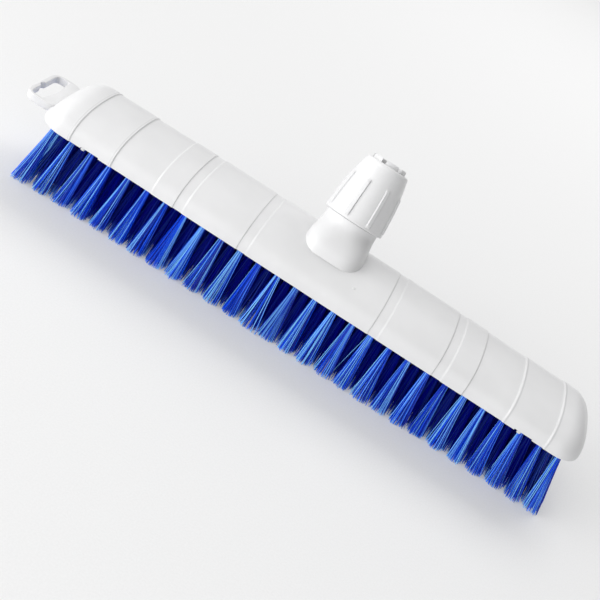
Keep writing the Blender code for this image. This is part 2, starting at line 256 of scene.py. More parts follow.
BRISTLE_DARK, BRISTLE_MID = (0.001, 0.002, 0.27), (0.002, 0.10, 1.0)
BRISTLE_BRIGHT = (0.26, 0.66, 1.0)
BRISTLE_STREAK = (0.02, 0.12, 0.90)
BRISTLE_SHADE = (0.001, 0.001, 0.21)
BRISTLE_TIP = (0.20, 0.56, 1.0)
MID_TINTS, BRIGHT_TINTS = (0.0, 0.7), (0.68, 0.95)   # the tints over which each comes in
TIP_PART = (0.96, 1.0)               # of the filament's length


class Nodes:
    """A short way to add and join shader nodes."""

    def __init__(self, name):
        self.mat = bpy.data.materials.new(name)
        self.mat.use_nodes = True
        self.tree = self.mat.node_tree
        self.shader = self.tree.nodes["Principled BSDF"]

    def set(self, **values):
        """Fixed inputs of the shader, with _ for a space in the name."""
        for key, value in values.items():
            self.shader.inputs[key.replace("_", " ")].default_value = value

    def feed(self, out, name):
        self.join(out, self.shader.inputs[name])

    def add(self, kind, values=(), **settings):
        node = self.tree.nodes.new(kind)
        for key, value in settings.items():
            setattr(node, key, value)
        for key, value in dict(values).items():
            node.inputs[key].default_value = value
        return node

    def join(self, out, into):
        self.tree.links.new(out, into)

    def attribute(self, name):
        return self.add("ShaderNodeAttribute", attribute_name=name).outputs["Fac"]

    def noise(self, scale, detail=2.0, roughness=0.5, stretch=None):
        coords = self.add("ShaderNodeTexCoord").outputs["Object"]
        tex = self.add("ShaderNodeTexNoise",
                       {"Scale": scale, "Detail": detail, "Roughness": roughness})
        if stretch:
            mapping = self.add("ShaderNodeMapping", {"Scale": stretch})
            self.join(coords, mapping.inputs["Vector"])
            coords = mapping.outputs["Vector"]
        self.join(coords, tex.inputs["Vector"])
        return tex.outputs["Fac"]

    def span(self, value, low, high, from_low=0.3, from_high=0.7):
        node = self.add("ShaderNodeMapRange", {"From Min": from_low, "From Max": from_high,
                                               "To Min": low, "To Max": high})
        self.join(value, node.inputs["Value"])
        return node.outputs["Result"]

    def mix(self, fac, a, b):
        """A fixed colour or an output as A, and a fixed colour as B."""
        node = self.add("ShaderNodeMix", data_type="RGBA")
        if isinstance(a, bpy.types.NodeSocket):
            self.join(a, node.inputs["A"])
        else:
            node.inputs["A"].default_value = (*a, 1.0)
        node.inputs["B"].default_value = (*b, 1.0)
        self.join(fac, node.inputs["Factor"])
        return node.outputs["Result"]

    def bump(self, height, strength, distance, normal=None):
        node = self.add("ShaderNodeBump", {"Strength": strength, "Distance": distance})
        self.join(height, node.inputs["Height"])
        if normal:
            self.join(normal, node.inputs["Normal"])
        return node.outputs["Normal"]


def moulded_plastic(kind):
    """Glossy white plastic: faint mottling, long flow lines, fine scuffs, and painted shade
    where the mesh carries it.
    """
    light, shaded, rough_low, rough_high = PLASTICS[kind]
    n = Nodes(f"white_{kind}_plastic")
    colour = n.mix(n.span(n.noise(MOTTLE_SCALE), 0.0, 1.0), light, shaded)
    # Painted shade: the mesh's value darkens the white towards that grey.
    n.feed(n.mix(n.attribute("painted_shade"), colour, PAINTED_SHADE_COLOUR), "Base Color")
    scuff = n.noise(SCUFF_SCALE, detail=4.0, roughness=0.6, stretch=SCUFF_STRETCH)
    n.feed(n.span(scuff, rough_low, rough_high, from_high=0.8), "Roughness")
    wave = n.bump(n.noise(WAVE_SCALE, roughness=0.4, stretch=WAVE_STRETCH), *WAVE_BUMP)
    n.feed(n.bump(n.noise(GRAIN_SCALE), *GRAIN_BUMP, normal=wave), "Normal")
    n.set(IOR=1.5, Coat_Weight=0.12, Coat_Roughness=0.12)
    return n.mat


def bristle_material():
    """Blue filament: its own tint, painted shade deep in the bed, paler at its cut tip."""
    n = Nodes("bristle_filament")
    tint, along, bed_shade = (n.attribute(name) for name in ("tint", "along", "bed_shade"))
    colour = n.mix(n.span(tint, 0.0, 1.0, *MID_TINTS), BRISTLE_DARK, BRISTLE_MID)
    colour = n.mix(n.span(tint, 0.0, 0.9, *BRIGHT_TINTS), colour, BRISTLE_BRIGHT)
    streak = n.noise(STREAK_SCALE, stretch=STREAK_STRETCH)
    colour = n.mix(n.span(streak, 0.0, 0.15), colour, BRISTLE_STREAK)
    # Painted shade inside the bed.
    colour = n.mix(bed_shade, colour, BRISTLE_SHADE)
    colour = n.mix(n.span(along, 0.0, 0.35, *TIP_PART), colour, BRISTLE_TIP)
    n.feed(colour, "Base Color")
    n.feed(n.span(streak, 0.22, 0.36), "Roughness")
    # Painted shade also dulls the gloss inside the bed.
    n.feed(n.span(bed_shade, 0.27, 0.03, 0.0, 0.9), "Specular IOR Level")
    n.set(IOR=1.53)
    return n.mat


# ---------- cover ----------

ARCH_POWER = 2.4                     # over 2, so the section is squarer than an ellipse
WALL = 2.4
OUTSIDE_SEGMENTS, INSIDE_SEGMENTS = 72, 40
RIM_ROUND, RIM_CORNER = 0.45, 0.13   # a small radius on the rim's outer edge
INSIDE_FLOOR = -3.0                  # the cutter's floor, below the rim

# The relief changes at these distances from the middle: (distance, level beyond it).
LIP = 0.13
LEVELS = ((0.0, 0.0), (45.0, -0.35), (51.6, 0.0), (92.0, -0.45), (98.6, 0.0),
          (114.5, -0.5), (144.5, 0.0), (174.5, END_LEVEL - LIP))
LIPS = (144.5, 174.5)                # a fine raised lip beside these steps
LIP_OFFSET, LIP_SPREAD = 0.75, 0.5
SOFT_RUN, SHARP_RUN = 1.5, 0.6       # a riser that faces the loop, and one that doesn't

# Painted shade at the steps: how strong and how wide each dark line is, and how far
# it lies from the step.
RISER_SHADE, RISER_SPREAD = 0.13, 0.75
FOOT_SHADE, FOOT_OFFSET = 0.30, 0.45
LIP_SHADE, LIP_FOOT = 0.45, 1.4
FINE_SPREAD = 0.3

# The ends: shares of the width and the height that are left at the very end.
TAPER_START, TAPER_POWER = 181.5, 2.1
END_WIDTH, WIDTH_POWER = 0.575, 0.57
END_HEIGHT, HEIGHT_POWER = 0.22, 0.62
LOOP_END_EARLY, PLAIN_END_LATE = 1.5, 0.8        # how much sooner or later the height falls

STATION_GAP = 6.0
STEP_STATIONS = (-1.0, -0.7, -0.5, -0.3, -0.15, 0.0, 0.15, 0.3, 0.5, 0.7, 0.9, 1.2, 1.6, 2.2)
END_STATIONS, END_CROWDING = 28, 1.9
INSIDE_STATIONS = [22.0 * i for i in range(1, 8)] + [174.0, 181.5, 186.5, 189.5, 192.5,
                                                     195.0, 196.9]

NOTCH_X, NOTCH_LENGTH, NOTCH_DEPTH = 160.0, 13.0, 1.1
NOTCH_NEAR, NOTCH_FAR, NOTCH_BOTTOM = 26.0, 46.0, -1.0   # through the side wall

GATE_X, GATE_STEEPNESS = 23.0, 49.0  # small moulding mark in front of the boss
GATE_OUT = Vector((0.0, -0.42, 0.91)).normalized()
GATE_PROFILE = ((0.9, -0.6), (0.9, 0.12), (0.7, 0.28), (0.25, 0.33))    # (radius, rise)
GATE_SIDES = 20


def faces_loop(change, x):
    """Whether the riser of a step faces the loop end, by its change in level."""
    return change * x > 0


def level_at(x):
    """Relief of the cover's outside at X."""
    level = LEVELS[0][1]
    for (_, before), (start, after) in zip(LEVELS, LEVELS[1:]):
        run = SOFT_RUN if faces_loop(after - before, x) else SHARP_RUN
        level += (after - before) * smooth((abs(x) - start) / run + 0.5)
    for start in LIPS:
        level += LIP * bell(abs(x) - start - LIP_OFFSET, LIP_SPREAD)
    return level


def step_shade_at(x):
    """Painted shade at the steps at X: a fine line of painted shadow at each foot and
    lip, and softer painted shade on the risers that face the loop and the key light."""
    tone = 0.0
    for (_, before), (start, after) in zip(LEVELS, LEVELS[1:]):
        past = abs(x) - start
        if faces_loop(after - before, x):
            tone += RISER_SHADE * bell(past, RISER_SPREAD)
        else:
            foot = FOOT_OFFSET if after < before else -FOOT_OFFSET
            tone += FOOT_SHADE * bell(past - foot, FINE_SPREAD)
        if start in LIPS:
            tone += LIP_SHADE * bell(past - LIP_FOOT, FINE_SPREAD)
    return tone


def end_share(distance, least, power):
    """Share of the full width or height at this distance from the middle."""
    u = min((distance - TAPER_START) / (HALF_LENGTH - TAPER_START), 1.0)
    if u <= 0:
        return 1.0
    return least + (1 - least) * max(1 - u ** TAPER_POWER, 0.0) ** power


def arch_point(width, height, angle):
    """(y, z) on the cover's section: angle 0 is the front rim."""
    c, s = math.cos(angle), math.sin(angle)
    return (-width * math.copysign(abs(c) ** (2 / ARCH_POWER), c),
            height * abs(s) ** (2 / ARCH_POWER))


def arch(x, inside=False):
    """A section of the cover's outside, or of the cutter that hollows it, from the
    front rim over the top to the back rim."""
    grow = -WALL if inside else level_at(x)
    crown = CROWN * max(1 - (x / CROWN_REACH) ** 2, 0.0)
    fall = -x + LOOP_END_EARLY if x < 0 else x - PLAIN_END_LATE
    width = HALF_WIDTH * end_share(abs(x), END_WIDTH, WIDTH_POWER) + grow
    height = (ARCH_HEIGHT + crown) * end_share(fall, END_HEIGHT, HEIGHT_POWER) + grow
    segments = INSIDE_SEGMENTS if inside else OUTSIDE_SEGMENTS
    points = [[x, *arch_point(width, height, math.pi * i / segments)]
              for i in range(segments + 1)]
    if inside:
        points[0][2] = points[-1][2] = INSIDE_FLOOR
    else:
        points[0][1:] = -(width - RIM_ROUND), 0.0
        points[-1][1:] = width - RIM_ROUND, 0.0
        points.insert(1, [x, -width + RIM_CORNER, RIM_CORNER])
        points.insert(-1, [x, width - RIM_CORNER, RIM_CORNER])
    return [local(*p) for p in points]


def both_ways(half):
    """Stations to both sides of the middle, from those on one side."""
    half = sorted(half)
    return [-x for x in reversed(half)] + [0.0] + half


def outside_stations():
    """Places along the cover, closer together at the steps and the ends."""
    half = {HALF_LENGTH}
    half.update(float(x) for x in np.arange(STATION_GAP, TAPER_START, STATION_GAP))
    for start, _ in LEVELS[1:]:
        half.update(start + d for d in STEP_STATIONS)
    for i in range(1, END_STATIONS):
        share = 1 - (1 - i / END_STATIONS) ** END_CROWDING
        half.add(TAPER_START + (HALF_LENGTH - TAPER_START) * share)
    return both_ways(half)


def gate_mark():
    """A low round nub on the front of the arch, below the boss."""
    y, z = arch_point(HALF_WIDTH, ARCH_HEIGHT + CROWN, math.radians(GATE_STEEPNESS))
    side = GATE_OUT.cross(ACROSS)
    angles = [2 * math.pi * i / GATE_SIDES for i in range(GATE_SIDES)]
    rings = []
    for radius, rise in GATE_PROFILE:
        centre = local(GATE_X, y, z) + GATE_OUT * rise * MM
        rings.append([centre + (ACROSS * math.cos(a) + side * math.sin(a)) * radius * MM
                      for a in angles])
    return mesh_object("gate_mark", loft(rings))


def make_cover(mat):
    cover = mesh_object("cover", loft([arch(x) for x in outside_stations()]))
    rings = [arch(x, inside=True) for x in both_ways(INSIDE_STATIONS)]
    boolean(cover, mesh_object("inside", loft(rings)), "DIFFERENCE")
    for x in (-NOTCH_X, NOTCH_X):
        for face in (-1, 1):
            notch = side_box("notch", x, NOTCH_LENGTH / 2, face, NOTCH_NEAR, NOTCH_FAR,
                             NOTCH_BOTTOM, NOTCH_DEPTH)
            boolean(cover, notch, "DIFFERENCE")
    boolean(cover, gate_mark(), "UNION")
    # Painted shade at the steps: dark lines and shaded risers, stored for the material.
    paint(cover.data, "painted_shade",
          [step_shade_at((v.co.x - CENTRE_X) / MM) for v in cover.data.vertices])
    shade(cover, angle=38.0)
    finish_piece(cover, mat, "cover_plastic", "cover_shell")


# ---------- hanging loop ----------

LOOP_ROOT_X = -197.0                 # inside the end of the cover
LOOP_HALF_WIDTH, LOOP_CORNER, LOOP_THICKNESS, LOOP_EDGE = 20.2, 8.5, 5.2, 0.5
SLOT_END_RAIL, SLOT_SIDE_RAIL = 3.0, 2.6
SLOT_WIDTH, SLOT_BELLY, SLOT_CORNER = 8.0, 10.4, 4.0
SLOT_SHOULDER = (8.8, 1.6)           # from the outer rail, and from the slot's end
SLOT_BELLY_Y = (1.0, -3.0)
NAIL_NOTCH = ((0.0, -4.6), (-1.6, -3.4), (-1.6, 0.0), (0.0, 1.2))
SLOT_CUT = (-5.0, 10.0)              # past both faces of the plate


def make_loop(mat):
    """A flat plate level with the rim, with a long slot that has a nail notch."""
    outline = rectangle(LOOP_ROOT_X, LOOP_END_X, LOOP_HALF_WIDTH)
    plate = prism("hanging_loop", rounded(outline, LOOP_CORNER, steps=8), 0.0, LOOP_THICKNESS)
    x, y = LOOP_END_X + SLOT_END_RAIL, LOOP_HALF_WIDTH - SLOT_SIDE_RAIL
    shoulder_x, shoulder_y = x + SLOT_SHOULDER[0], y - SLOT_SHOULDER[1]
    slot = [(x, -y)] + [(x + dx, notch_y) for dx, notch_y in NAIL_NOTCH] + [(x, y)]
    slot += [(x + SLOT_WIDTH, y), (shoulder_x, shoulder_y)]
    slot += [(x + SLOT_BELLY, belly_y) for belly_y in SLOT_BELLY_Y]
    slot += [(shoulder_x, -shoulder_y), (x + SLOT_WIDTH, -y)]
    boolean(plate, prism("slot", rounded(slot, SLOT_CORNER, steps=6), *SLOT_CUT), "DIFFERENCE")
    bevel(plate, LOOP_EDGE, segments=3, angle=50.0)
    shade(plate, angle=40.0)
    finish_piece(plate, mat, "cover_plastic")


# ---------- handle socket, by distance along its axis ----------

RING_SEGMENTS = 96
BOSS_BOTTOM, BOSS_RINGS, BOSS_TOP = 6.0, 28, 34.55
BOSS_RADIUS, BOSS_SPREAD = 18.6, 2.7             # at the top, and what the foot adds
BOSS_SQUARENESS, BOSS_REACH = 1.5, 0.15          # of the foot: its corners, its front
BOSS_FOOT, BOSS_FLARE = 11.0, 21.0
TUBE_RADIUS, THREAD_RADIUS, BORE_RADIUS = 15.4, 16.3, 10.9
TUBE_BOTTOM, TUBE_TOP = 28.0, 51.5
THREAD_START, THREAD_PITCH, THREAD_COUNT = 37.4, 4.0, 3
THREAD_SECTION = ((0.0, TUBE_RADIUS), (0.7, THREAD_RADIUS), (1.3, THREAD_RADIUS),
                  (2.0, TUBE_RADIUS))
BORE_FLOOR = 14.0
COLLET_TIP = 79.2
COLLET_PROFILE = [(54.0, 14.5), (75.6, 12.3), (76.6, 12.1), (COLLET_TIP - 1.0, 12.0),
                  (COLLET_TIP - 0.5, 11.85), (COLLET_TIP, 11.4)]
BORE_PROFILE = [(BORE_FLOOR, BORE_RADIUS), (COLLET_TIP - 0.7, BORE_RADIUS),
                (COLLET_TIP - 0.2, BORE_RADIUS + 0.15), (COLLET_TIP, BORE_RADIUS + 0.4),
                (COLLET_TIP + 3.0, BORE_RADIUS + 2.0)]
SLIT_COUNT, SLIT_FIRST_ANGLE, SLIT_BOTTOM, SLIT_HALF_WIDTH = 6, -20.0, 56.0, 1.6
SLIT_CUT_NEAR, SLIT_CUT_FAR, SLIT_CUT_TOP = 6.0, 20.0, COLLET_TIP + 3.0


def axis_ring(along, radius, power=2.0, front=1.0):
    """A ring round the axis. A power over 2 squares it, and a front over 1 stretches
    the half that faces -Y."""
    ring = []
    for i in range(RING_SEGMENTS):
        a = 2 * math.pi * i / RING_SEGMENTS
        stretch = (abs(math.cos(a)) ** power + abs(math.sin(a)) ** power) ** (-1 / power)
        reach = max(radius * stretch * math.cos(a), 0.0) * (front - 1.0)
        ring.append(axis_point(along, radius * stretch, a) - BACK * reach * MM)
    return ring


def turned(name, profile):
    """A body of revolution from its (along, radius) profile."""
    return mesh_object(name, loft([axis_ring(a, r) for a, r in profile]))


def make_socket(mat):
    rings = []
    for i in range(BOSS_RINGS):
        along = BOSS_BOTTOM + i
        t = 1 - smooth((along - BOSS_FOOT) / BOSS_FLARE)
        rings.append(axis_ring(along, BOSS_RADIUS + BOSS_SPREAD * t,
                               2.0 + BOSS_SQUARENESS * t, 1.0 + BOSS_REACH * t))
    rings.append(axis_ring(BOSS_TOP, BOSS_RADIUS))
    socket = mesh_object("handle_socket_body", loft(rings))
    profile = [(TUBE_BOTTOM, TUBE_RADIUS)]
    for i in range(THREAD_COUNT):
        start = THREAD_START + i * THREAD_PITCH
        profile += [(start + a, r) for a, r in THREAD_SECTION]
    profile += [(TUBE_TOP, TUBE_RADIUS)] + COLLET_PROFILE
    boolean(socket, turned("tube", profile), "UNION")
    boolean(socket, turned("bore", BORE_PROFILE), "DIFFERENCE")
    corners = ((SLIT_CUT_NEAR, -1), (SLIT_CUT_FAR, -1), (SLIT_CUT_FAR, 1), (SLIT_CUT_NEAR, 1))
    for i in range(SLIT_COUNT):
        angle = math.radians(SLIT_FIRST_ANGLE + 360.0 / SLIT_COUNT * i)
        rings = [[axis_point(along, r, angle + side * math.asin(SLIT_HALF_WIDTH / r))
                  for r, side in corners] for along in (SLIT_BOTTOM, SLIT_CUT_TOP)]
        boolean(socket, mesh_object("slit", loft(rings)), "DIFFERENCE")
    shade(socket, angle=30.0)
    finish_piece(socket, mat, "socket_plastic", "handle_socket")


# ---------- locking collar, by distance along the same axis ----------

LIP_START = COLLAR_START + 0.8
LIP_PROFILE = ((0.0, 20.5), (0.12, 20.75), (0.35, 20.95), (0.8, 21.0), (1.3, 20.97))
CONE_START = LIP_START + 1.7
CONE_RINGS = 40
COLLAR_TOP = 76.2
SHOULDER_HEIGHT, SHOULDER_DEPTH, SHOULDER_STEPS = 2.6, 1.7, 8
# The cone's radius starts at 20.95 at TAPER_FROM and loses both of these by the top.
CONE_RADIUS, CONE_LOSS, CONE_LATE_LOSS = 20.95, 3.0, 3.1
TAPER_FROM = 35.5

RIB_COUNT, RIB_FIRST_ANGLE, RIB_HEIGHT = 8, 28.0, 0.95
RIB_HALF_ANGLE = math.degrees(1.2 / 19.0)        # 1.2 to each side, at radius 19
RIB_BOTTOM, RIB_BOTTOM_RUN = LIP_START + 2.2, 0.9
RIB_TOP, RIB_TOP_RUN = 62.0, 1.6
# Across half a rib: (degrees past its half angle, share of its height, painted shade).
RIB_SIDE = ((1.0, 0.0, 0.15), (0.5, 0.2, 0.4), (0.0, 0.8, 0.15), (-0.6, 0.98, 0.15))
RIB_CREST = (0.0, 1.0, 0.15)
BETWEEN_RIBS = (9.0, 14.0, 19.0, 24.0, 29.0, 35.5)

VALLEY_RADIUS, RIDGE_RADIUS = THREAD_RADIUS + 0.5, 15.8  # ridges between those of the socket
RIDGE_SECTION = ((1.9, VALLEY_RADIUS), (1.3, RIDGE_RADIUS), (0.7, RIDGE_RADIUS),
                 (0.1, VALLEY_RADIUS))
LIP_CHAMFER = 0.3
COLLAR_MOUTH = [(COLLAR_TOP, 13.3), (COLLAR_TOP - 0.2, 13.05), (COLLAR_TOP - 0.8, 12.9),
                (54.2, 14.85)]


def collar_outside():
    """(along, radius, share of the rib's height) from the bottom lip upwards."""
    points = [(LIP_START + a, r, 0.0) for a, r in LIP_PROFILE]
    shoulder = COLLAR_TOP - SHOULDER_HEIGHT
    for i in range(CONE_RINGS):
        along = CONE_START + i * (shoulder - CONE_START) / (CONE_RINGS - 1)
        t = (along - TAPER_FROM) / (COLLAR_TOP - TAPER_FROM)
        radius = CONE_RADIUS - CONE_LOSS * t - CONE_LATE_LOSS * t ** 3
        rib = (smooth((along - RIB_BOTTOM) / RIB_BOTTOM_RUN)
               * (1 - smooth((along - RIB_TOP) / RIB_TOP_RUN)))
        points.append((along, radius, rib))
    last = points[-1][1]
    for i in range(1, SHOULDER_STEPS + 1):
        a = math.pi / 2 * i / SHOULDER_STEPS
        points.append((shoulder + SHOULDER_HEIGHT * math.sin(a),
                       last - SHOULDER_DEPTH * (1 - math.cos(a)), 0.0))
    return points


def collar_inside():
    """(along, radius) from the top mouth downwards, with ridges for the thread."""
    points = list(COLLAR_MOUTH)
    for i in reversed(range(THREAD_COUNT)):
        start = THREAD_START + (i + 0.5) * THREAD_PITCH
        points += [(start + a, r) for a, r in RIDGE_SECTION]
    return points + [(LIP_START + LIP_CHAMFER, VALLEY_RADIUS),
                     (LIP_START, VALLEY_RADIUS + LIP_CHAMFER)]


def rib_columns():
    """(angle from the rib's middle, share of its height, painted shade) round one rib."""
    left = [(-RIB_HALF_ANGLE - past, share, tone) for past, share, tone in RIB_SIDE]
    right = [(-angle, share, tone) for angle, share, tone in reversed(left)]
    return left + [RIB_CREST] + right + [(angle, 0.0, 0.0) for angle in BETWEEN_RIBS]


def make_collar(mat):
    profile = collar_outside() + [(a, r, 0.0) for a, r in collar_inside()]
    rings, shade_tones = [], []
    for k in range(RIB_COUNT):
        for offset, share, tone in rib_columns():
            angle = math.radians(RIB_FIRST_ANGLE + 360.0 / RIB_COUNT * k + offset)
            rings.append([axis_point(a, r + RIB_HEIGHT * share * rib, angle)
                          for a, r, rib in profile])
            shade_tones += [tone * rib for _, _, rib in profile]
    collar = mesh_object("ribbed_collar", loft(rings, closed=True))
    # Painted shade over the ribs, darkest along the foot of each flank.
    paint(collar.data, "painted_shade", shade_tones)
    shade(collar, angle=34.0)
    finish_piece(collar, mat, "collar_plastic", "locking_collar", body="collar")


# ---------- tufts ----------

TUFT_COUNT = 28                      # in the outer rows; every second row has one less
FILAMENTS = 74                       # in a tuft
FILAMENT_SIDES, FILAMENT_RADIUS = 4, (0.21, 0.28)
PATH_STEPS = np.array([0.0, 0.08, 0.3, 0.55, 0.8, 1.0])
PATH_POWER = 1.12                    # over 1, so that filaments curve outwards
GOLDEN_ANGLE = 2.399963              # in radians

ROOT_TOP, ROOT_RADIUS = 2.4, 1.3     # inside the block's hole
OUTER_ROOT_Y = 28.4
TIP_RADIUS, TIP_SQUEEZE = 6.1, 0.74
FAN_POWERS = np.array([0.8, 1.0])    # along and across: under 1 spreads the tips
INNER_SPREAD = 1.15                  # tufts of inner rows fan this much wider
TIP_SCATTER, SPOT_SCATTER, LEAN_SCATTER, BOW = 0.25, 0.05, 0.35, 0.2
TRIM, TRIM_POWER = 0.8, 1.5          # how much shorter the shortest filaments are
TUFT_SIZES = (0.84, 1.02)
STRAY_SHARE, STRAY_SCATTER, STRAY_SHIFT = 0.04, 2.6, np.array([1.0, 0.0])

END_LEAN, END_LEAN_POWER = 8.0, 1.3  # tufts lean out towards the ends of the bed
SECOND_ROW_LEAN = 2.4                # these press against the outer rows
SPLAY, SPLAY_POWER = 2.0, 8          # more lean, close to the plain end only
TUFT_SPAN = (ROW_BOXES[0][1][0] - ROW_BOXES[0][0][0]) / 2 / MM - END_LEAN - TIP_RADIUS
X_MARGIN, Y_MARGIN = 0.3, 0.4        # the filaments' own radius, and a little more

LOCKS = 10                           # groups in a tuft that share a tint
# The last is painted light: it makes the loop side of each tuft, towards the key, paler.
LOCK_TINT, OWN_TINT, PAINTED_SIDE_LIGHT = 0.28, 0.78, 0.14
OWN_CONTRAST, OWN_CUT = 2.6, 0.95    # over a third of them are darkest, a quarter brightest
SEED = 400                           # of the first row

# Painted shade darkens the inside of the bed. Shares of the half width and the half length.
SIDE_LIGHT, SIDE_LIGHT_RUN = 0.86, 0.12
END_LIGHT, END_LIGHT_RUN = 0.96, 0.04
SHADE_STRENGTH = 0.95
TIP_LIGHT, TIP_LIGHT_START, TIP_LIGHT_RUN = 0.6, 0.9, 0.1    # along the filament


def row_y(row):
    return (ROW_BOXES[row][0][1] + ROW_BOXES[row][1][1]) / 2 / MM - CENTRE_Y / MM


def root_y(row):
    """Roots stand closer together than the tips."""
    return row_y(row) * OUTER_ROOT_Y / row_y(ROW_COUNT - 1)


def tuft_places(row):
    pitch = 2 * TUFT_SPAN / (TUFT_COUNT - 1)
    if row % 2:
        return [-TUFT_SPAN + pitch * (i + 0.5) for i in range(TUFT_COUNT - 1)]
    return [-TUFT_SPAN + pitch * i for i in range(TUFT_COUNT)]


def disc(rng, count):
    """Even but unordered places in a unit disc."""
    i = np.arange(count)
    radius = np.sqrt((i + 0.5) / count)
    angle = i * GOLDEN_ANGLE + rng.uniform(0, 2 * math.pi)
    spots = np.stack([radius * np.cos(angle), radius * np.sin(angle)], 1)
    return spots + rng.normal(0.0, SPOT_SCATTER, spots.shape)


def tuft_lean(rng, row, x):
    """How far the middle of a tuft's tip stands from the middle of its root."""
    y = row_y(row)
    lean = np.array([END_LEAN * math.copysign(abs(x / TUFT_SPAN) ** END_LEAN_POWER, x),
                     y - root_y(row)])
    if row in (1, ROW_COUNT - 2):
        lean[1] += SECOND_ROW_LEAN * math.copysign(1.0, y)
    lean += rng.normal(0.0, LEAN_SCATTER, 2)
    lean[0] += SPLAY * max(x / TUFT_SPAN, 0.0) ** SPLAY_POWER
    return lean


def tuft_tints(rng, spots):
    """A tint from 0 to 1 for each filament: some by its lock, most of it its own, with
    painted light that makes the loop side of each tuft paler.
    """
    lock = rng.random(LOCKS)[np.clip((spots[:, 0] + 1) * LOCKS / 2, 0, LOCKS - 1).astype(int)]
    own = np.clip(rng.random(FILAMENTS) * OWN_CONTRAST - OWN_CUT, 0.0, 1.0)
    return np.clip(LOCK_TINT * lock + OWN_TINT * own - PAINTED_SIDE_LIGHT * spots[:, 0], 0.0, 1.0)


def filament_paths(rng, row):
    """Every filament in the row: points (count x steps x 3) and its tint."""
    inner = 0 < row < ROW_COUNT - 1
    s = PATH_STEPS[:, None]
    paths, tints = [], []
    for x in tuft_places(row):
        lean = tuft_lean(rng, row, x)
        spots = disc(rng, FILAMENTS)
        root = spots * ROOT_RADIUS
        size = rng.uniform(*TUFT_SIZES) * (INNER_SPREAD if inner else 1.0)
        fan = np.sign(spots) * np.abs(spots) ** FAN_POWERS
        tip = lean + fan * TIP_RADIUS * size * np.array([1.0, TIP_SQUEEZE])
        tip += rng.normal(0.0, TIP_SCATTER, tip.shape)
        stray = rng.random(FILAMENTS) < STRAY_SHARE
        tip[stray] += rng.normal(0.0, STRAY_SCATTER, (int(stray.sum()), 2)) - STRAY_SHIFT
        low = -BRISTLE_LENGTH + TRIM * rng.uniform(0.1, 1.0, FILAMENTS) ** TRIM_POWER
        bow = rng.normal(0.0, BOW, (FILAMENTS, 2))
        tints += list(tuft_tints(rng, spots))
        for k in range(FILAMENTS):
            flat = root[k] + (tip[k] - root[k]) * s ** PATH_POWER
            flat = flat + bow[k] * np.sin(math.pi * s)
            z = ROOT_TOP + (low[k] - ROOT_TOP) * PATH_STEPS
            paths.append(np.column_stack([x + flat[:, 0], root_y(row) + flat[:, 1], z]))
    return np.array(paths), np.array(tints)


def filament_mesh(name, paths, turn, radius):
    """A thin prism along each path, with each filament's own turn and radius."""
    count, rings, _ = paths.shape
    sides = FILAMENT_SIDES
    verts = np.zeros((count, rings, sides, 3))
    for k in range(sides):
        a = turn + 2 * math.pi * k / sides
        verts[:, :, k, :] = paths
        verts[:, :, k, 0] += (radius * np.cos(a))[:, None]
        verts[:, :, k, 1] += (radius * np.sin(a))[:, None]
    verts = verts * MM + np.array(local(0, 0, 0))
    faces = []
    for f in range(count):
        base = f * rings * sides
        for r in range(rings - 1):
            a, b = base + r * sides, base + (r + 1) * sides
            for k in range(sides):
                j = (k + 1) % sides
                faces.append((a + k, b + k, b + j, a + j))
        last = base + (rings - 1) * sides
        faces.append(tuple(base + k for k in range(sides)))
        faces.append(tuple(last + k for k in reversed(range(sides))))
    mesh = bpy.data.meshes.new(name)
    mesh.from_pydata(verts.reshape(-1, 3).tolist(), [], faces)
    return mesh


def bed_shade_values(paths):
    """Painted shade at each point of each path: 0 at the outside of the bed, less near the
    tips.
    """
    out = np.abs(paths[:, :1, 1]) / OUTER_ROOT_Y
    ends = np.abs(paths[:, :1, 0]) / TUFT_SPAN
    light = np.maximum((out - SIDE_LIGHT) / SIDE_LIGHT_RUN, (ends - END_LIGHT) / END_LIGHT_RUN)
    tips = np.clip((PATH_STEPS[None, :] - TIP_LIGHT_START) / TIP_LIGHT_RUN, 0, 1)
    return (1 - np.clip(light, 0, 1)) * SHADE_STRENGTH * (1 - tips * TIP_LIGHT)


def make_row(row, mat):
    rng = np.random.default_rng(SEED + row)
    paths, tints = filament_paths(rng, row)
    low, high = ROW_BOXES[row]
    x_limit = (high[0] - low[0]) / 2 / MM - X_MARGIN
    y_limit = row_y(ROW_COUNT - 1) + (high[1] - low[1]) / 2 / MM - Y_MARGIN
    paths[:, :, 0] = np.clip(paths[:, :, 0], -x_limit, x_limit)
    paths[:, :, 1] = np.clip(paths[:, :, 1], -y_limit, y_limit)
    count, rings, _ = paths.shape
    turn = rng.uniform(0, 2 * math.pi, count)
    radius = rng.uniform(*FILAMENT_RADIUS, count)
    mesh = filament_mesh(f"bristles_{row + 1}", paths, turn, radius)
    paint(mesh, "tint", np.repeat(tints, rings * FILAMENT_SIDES))
    paint(mesh, "along", np.tile(np.repeat(PATH_STEPS, FILAMENT_SIDES), count))
    # Painted shade, deepest inside the bed.
    paint(mesh, "bed_shade", np.repeat(bed_shade_values(paths).reshape(-1), FILAMENT_SIDES))
    ob = link(mesh.name, mesh)
    shade(ob, angle=75.0)
    finish_piece(ob, mat, "bristle_blue", f"tuft_row_{row + 1}")


# ---------- tuft block ----------

BLOCK_BOTTOM, BLOCK_HALF_WIDTH, BLOCK_CORNER = 0.5, 32.6, 18.0
BLOCK_SECTION = ((BLOCK_BOTTOM, 0.5), (BLOCK_BOTTOM + 0.15, 0.15), (BLOCK_BOTTOM + 0.5, 0.0),
                 (BLOCK_TOP, 2.2))   # (height, inset)
HOLE_RADIUS, HOLE_SIDES = 2.45, 16
HOLE_CUT = (BLOCK_BOTTOM - 1.0, BLOCK_BOTTOM + 3.4)
TAB_PLACES = (-165.0, 157.2)
TAB_HALF_WIDTH, TAB_NEAR, TAB_TOP, TAB_EDGE = 1.4, 31.6, 0.8, 0.9
LUG_HALF_WIDTH, LUG_NEAR, LUG_FAR, LUG_BOTTOM, LUG_TOP = 1.2, 31.05, 32.6, 0.3, 1.4


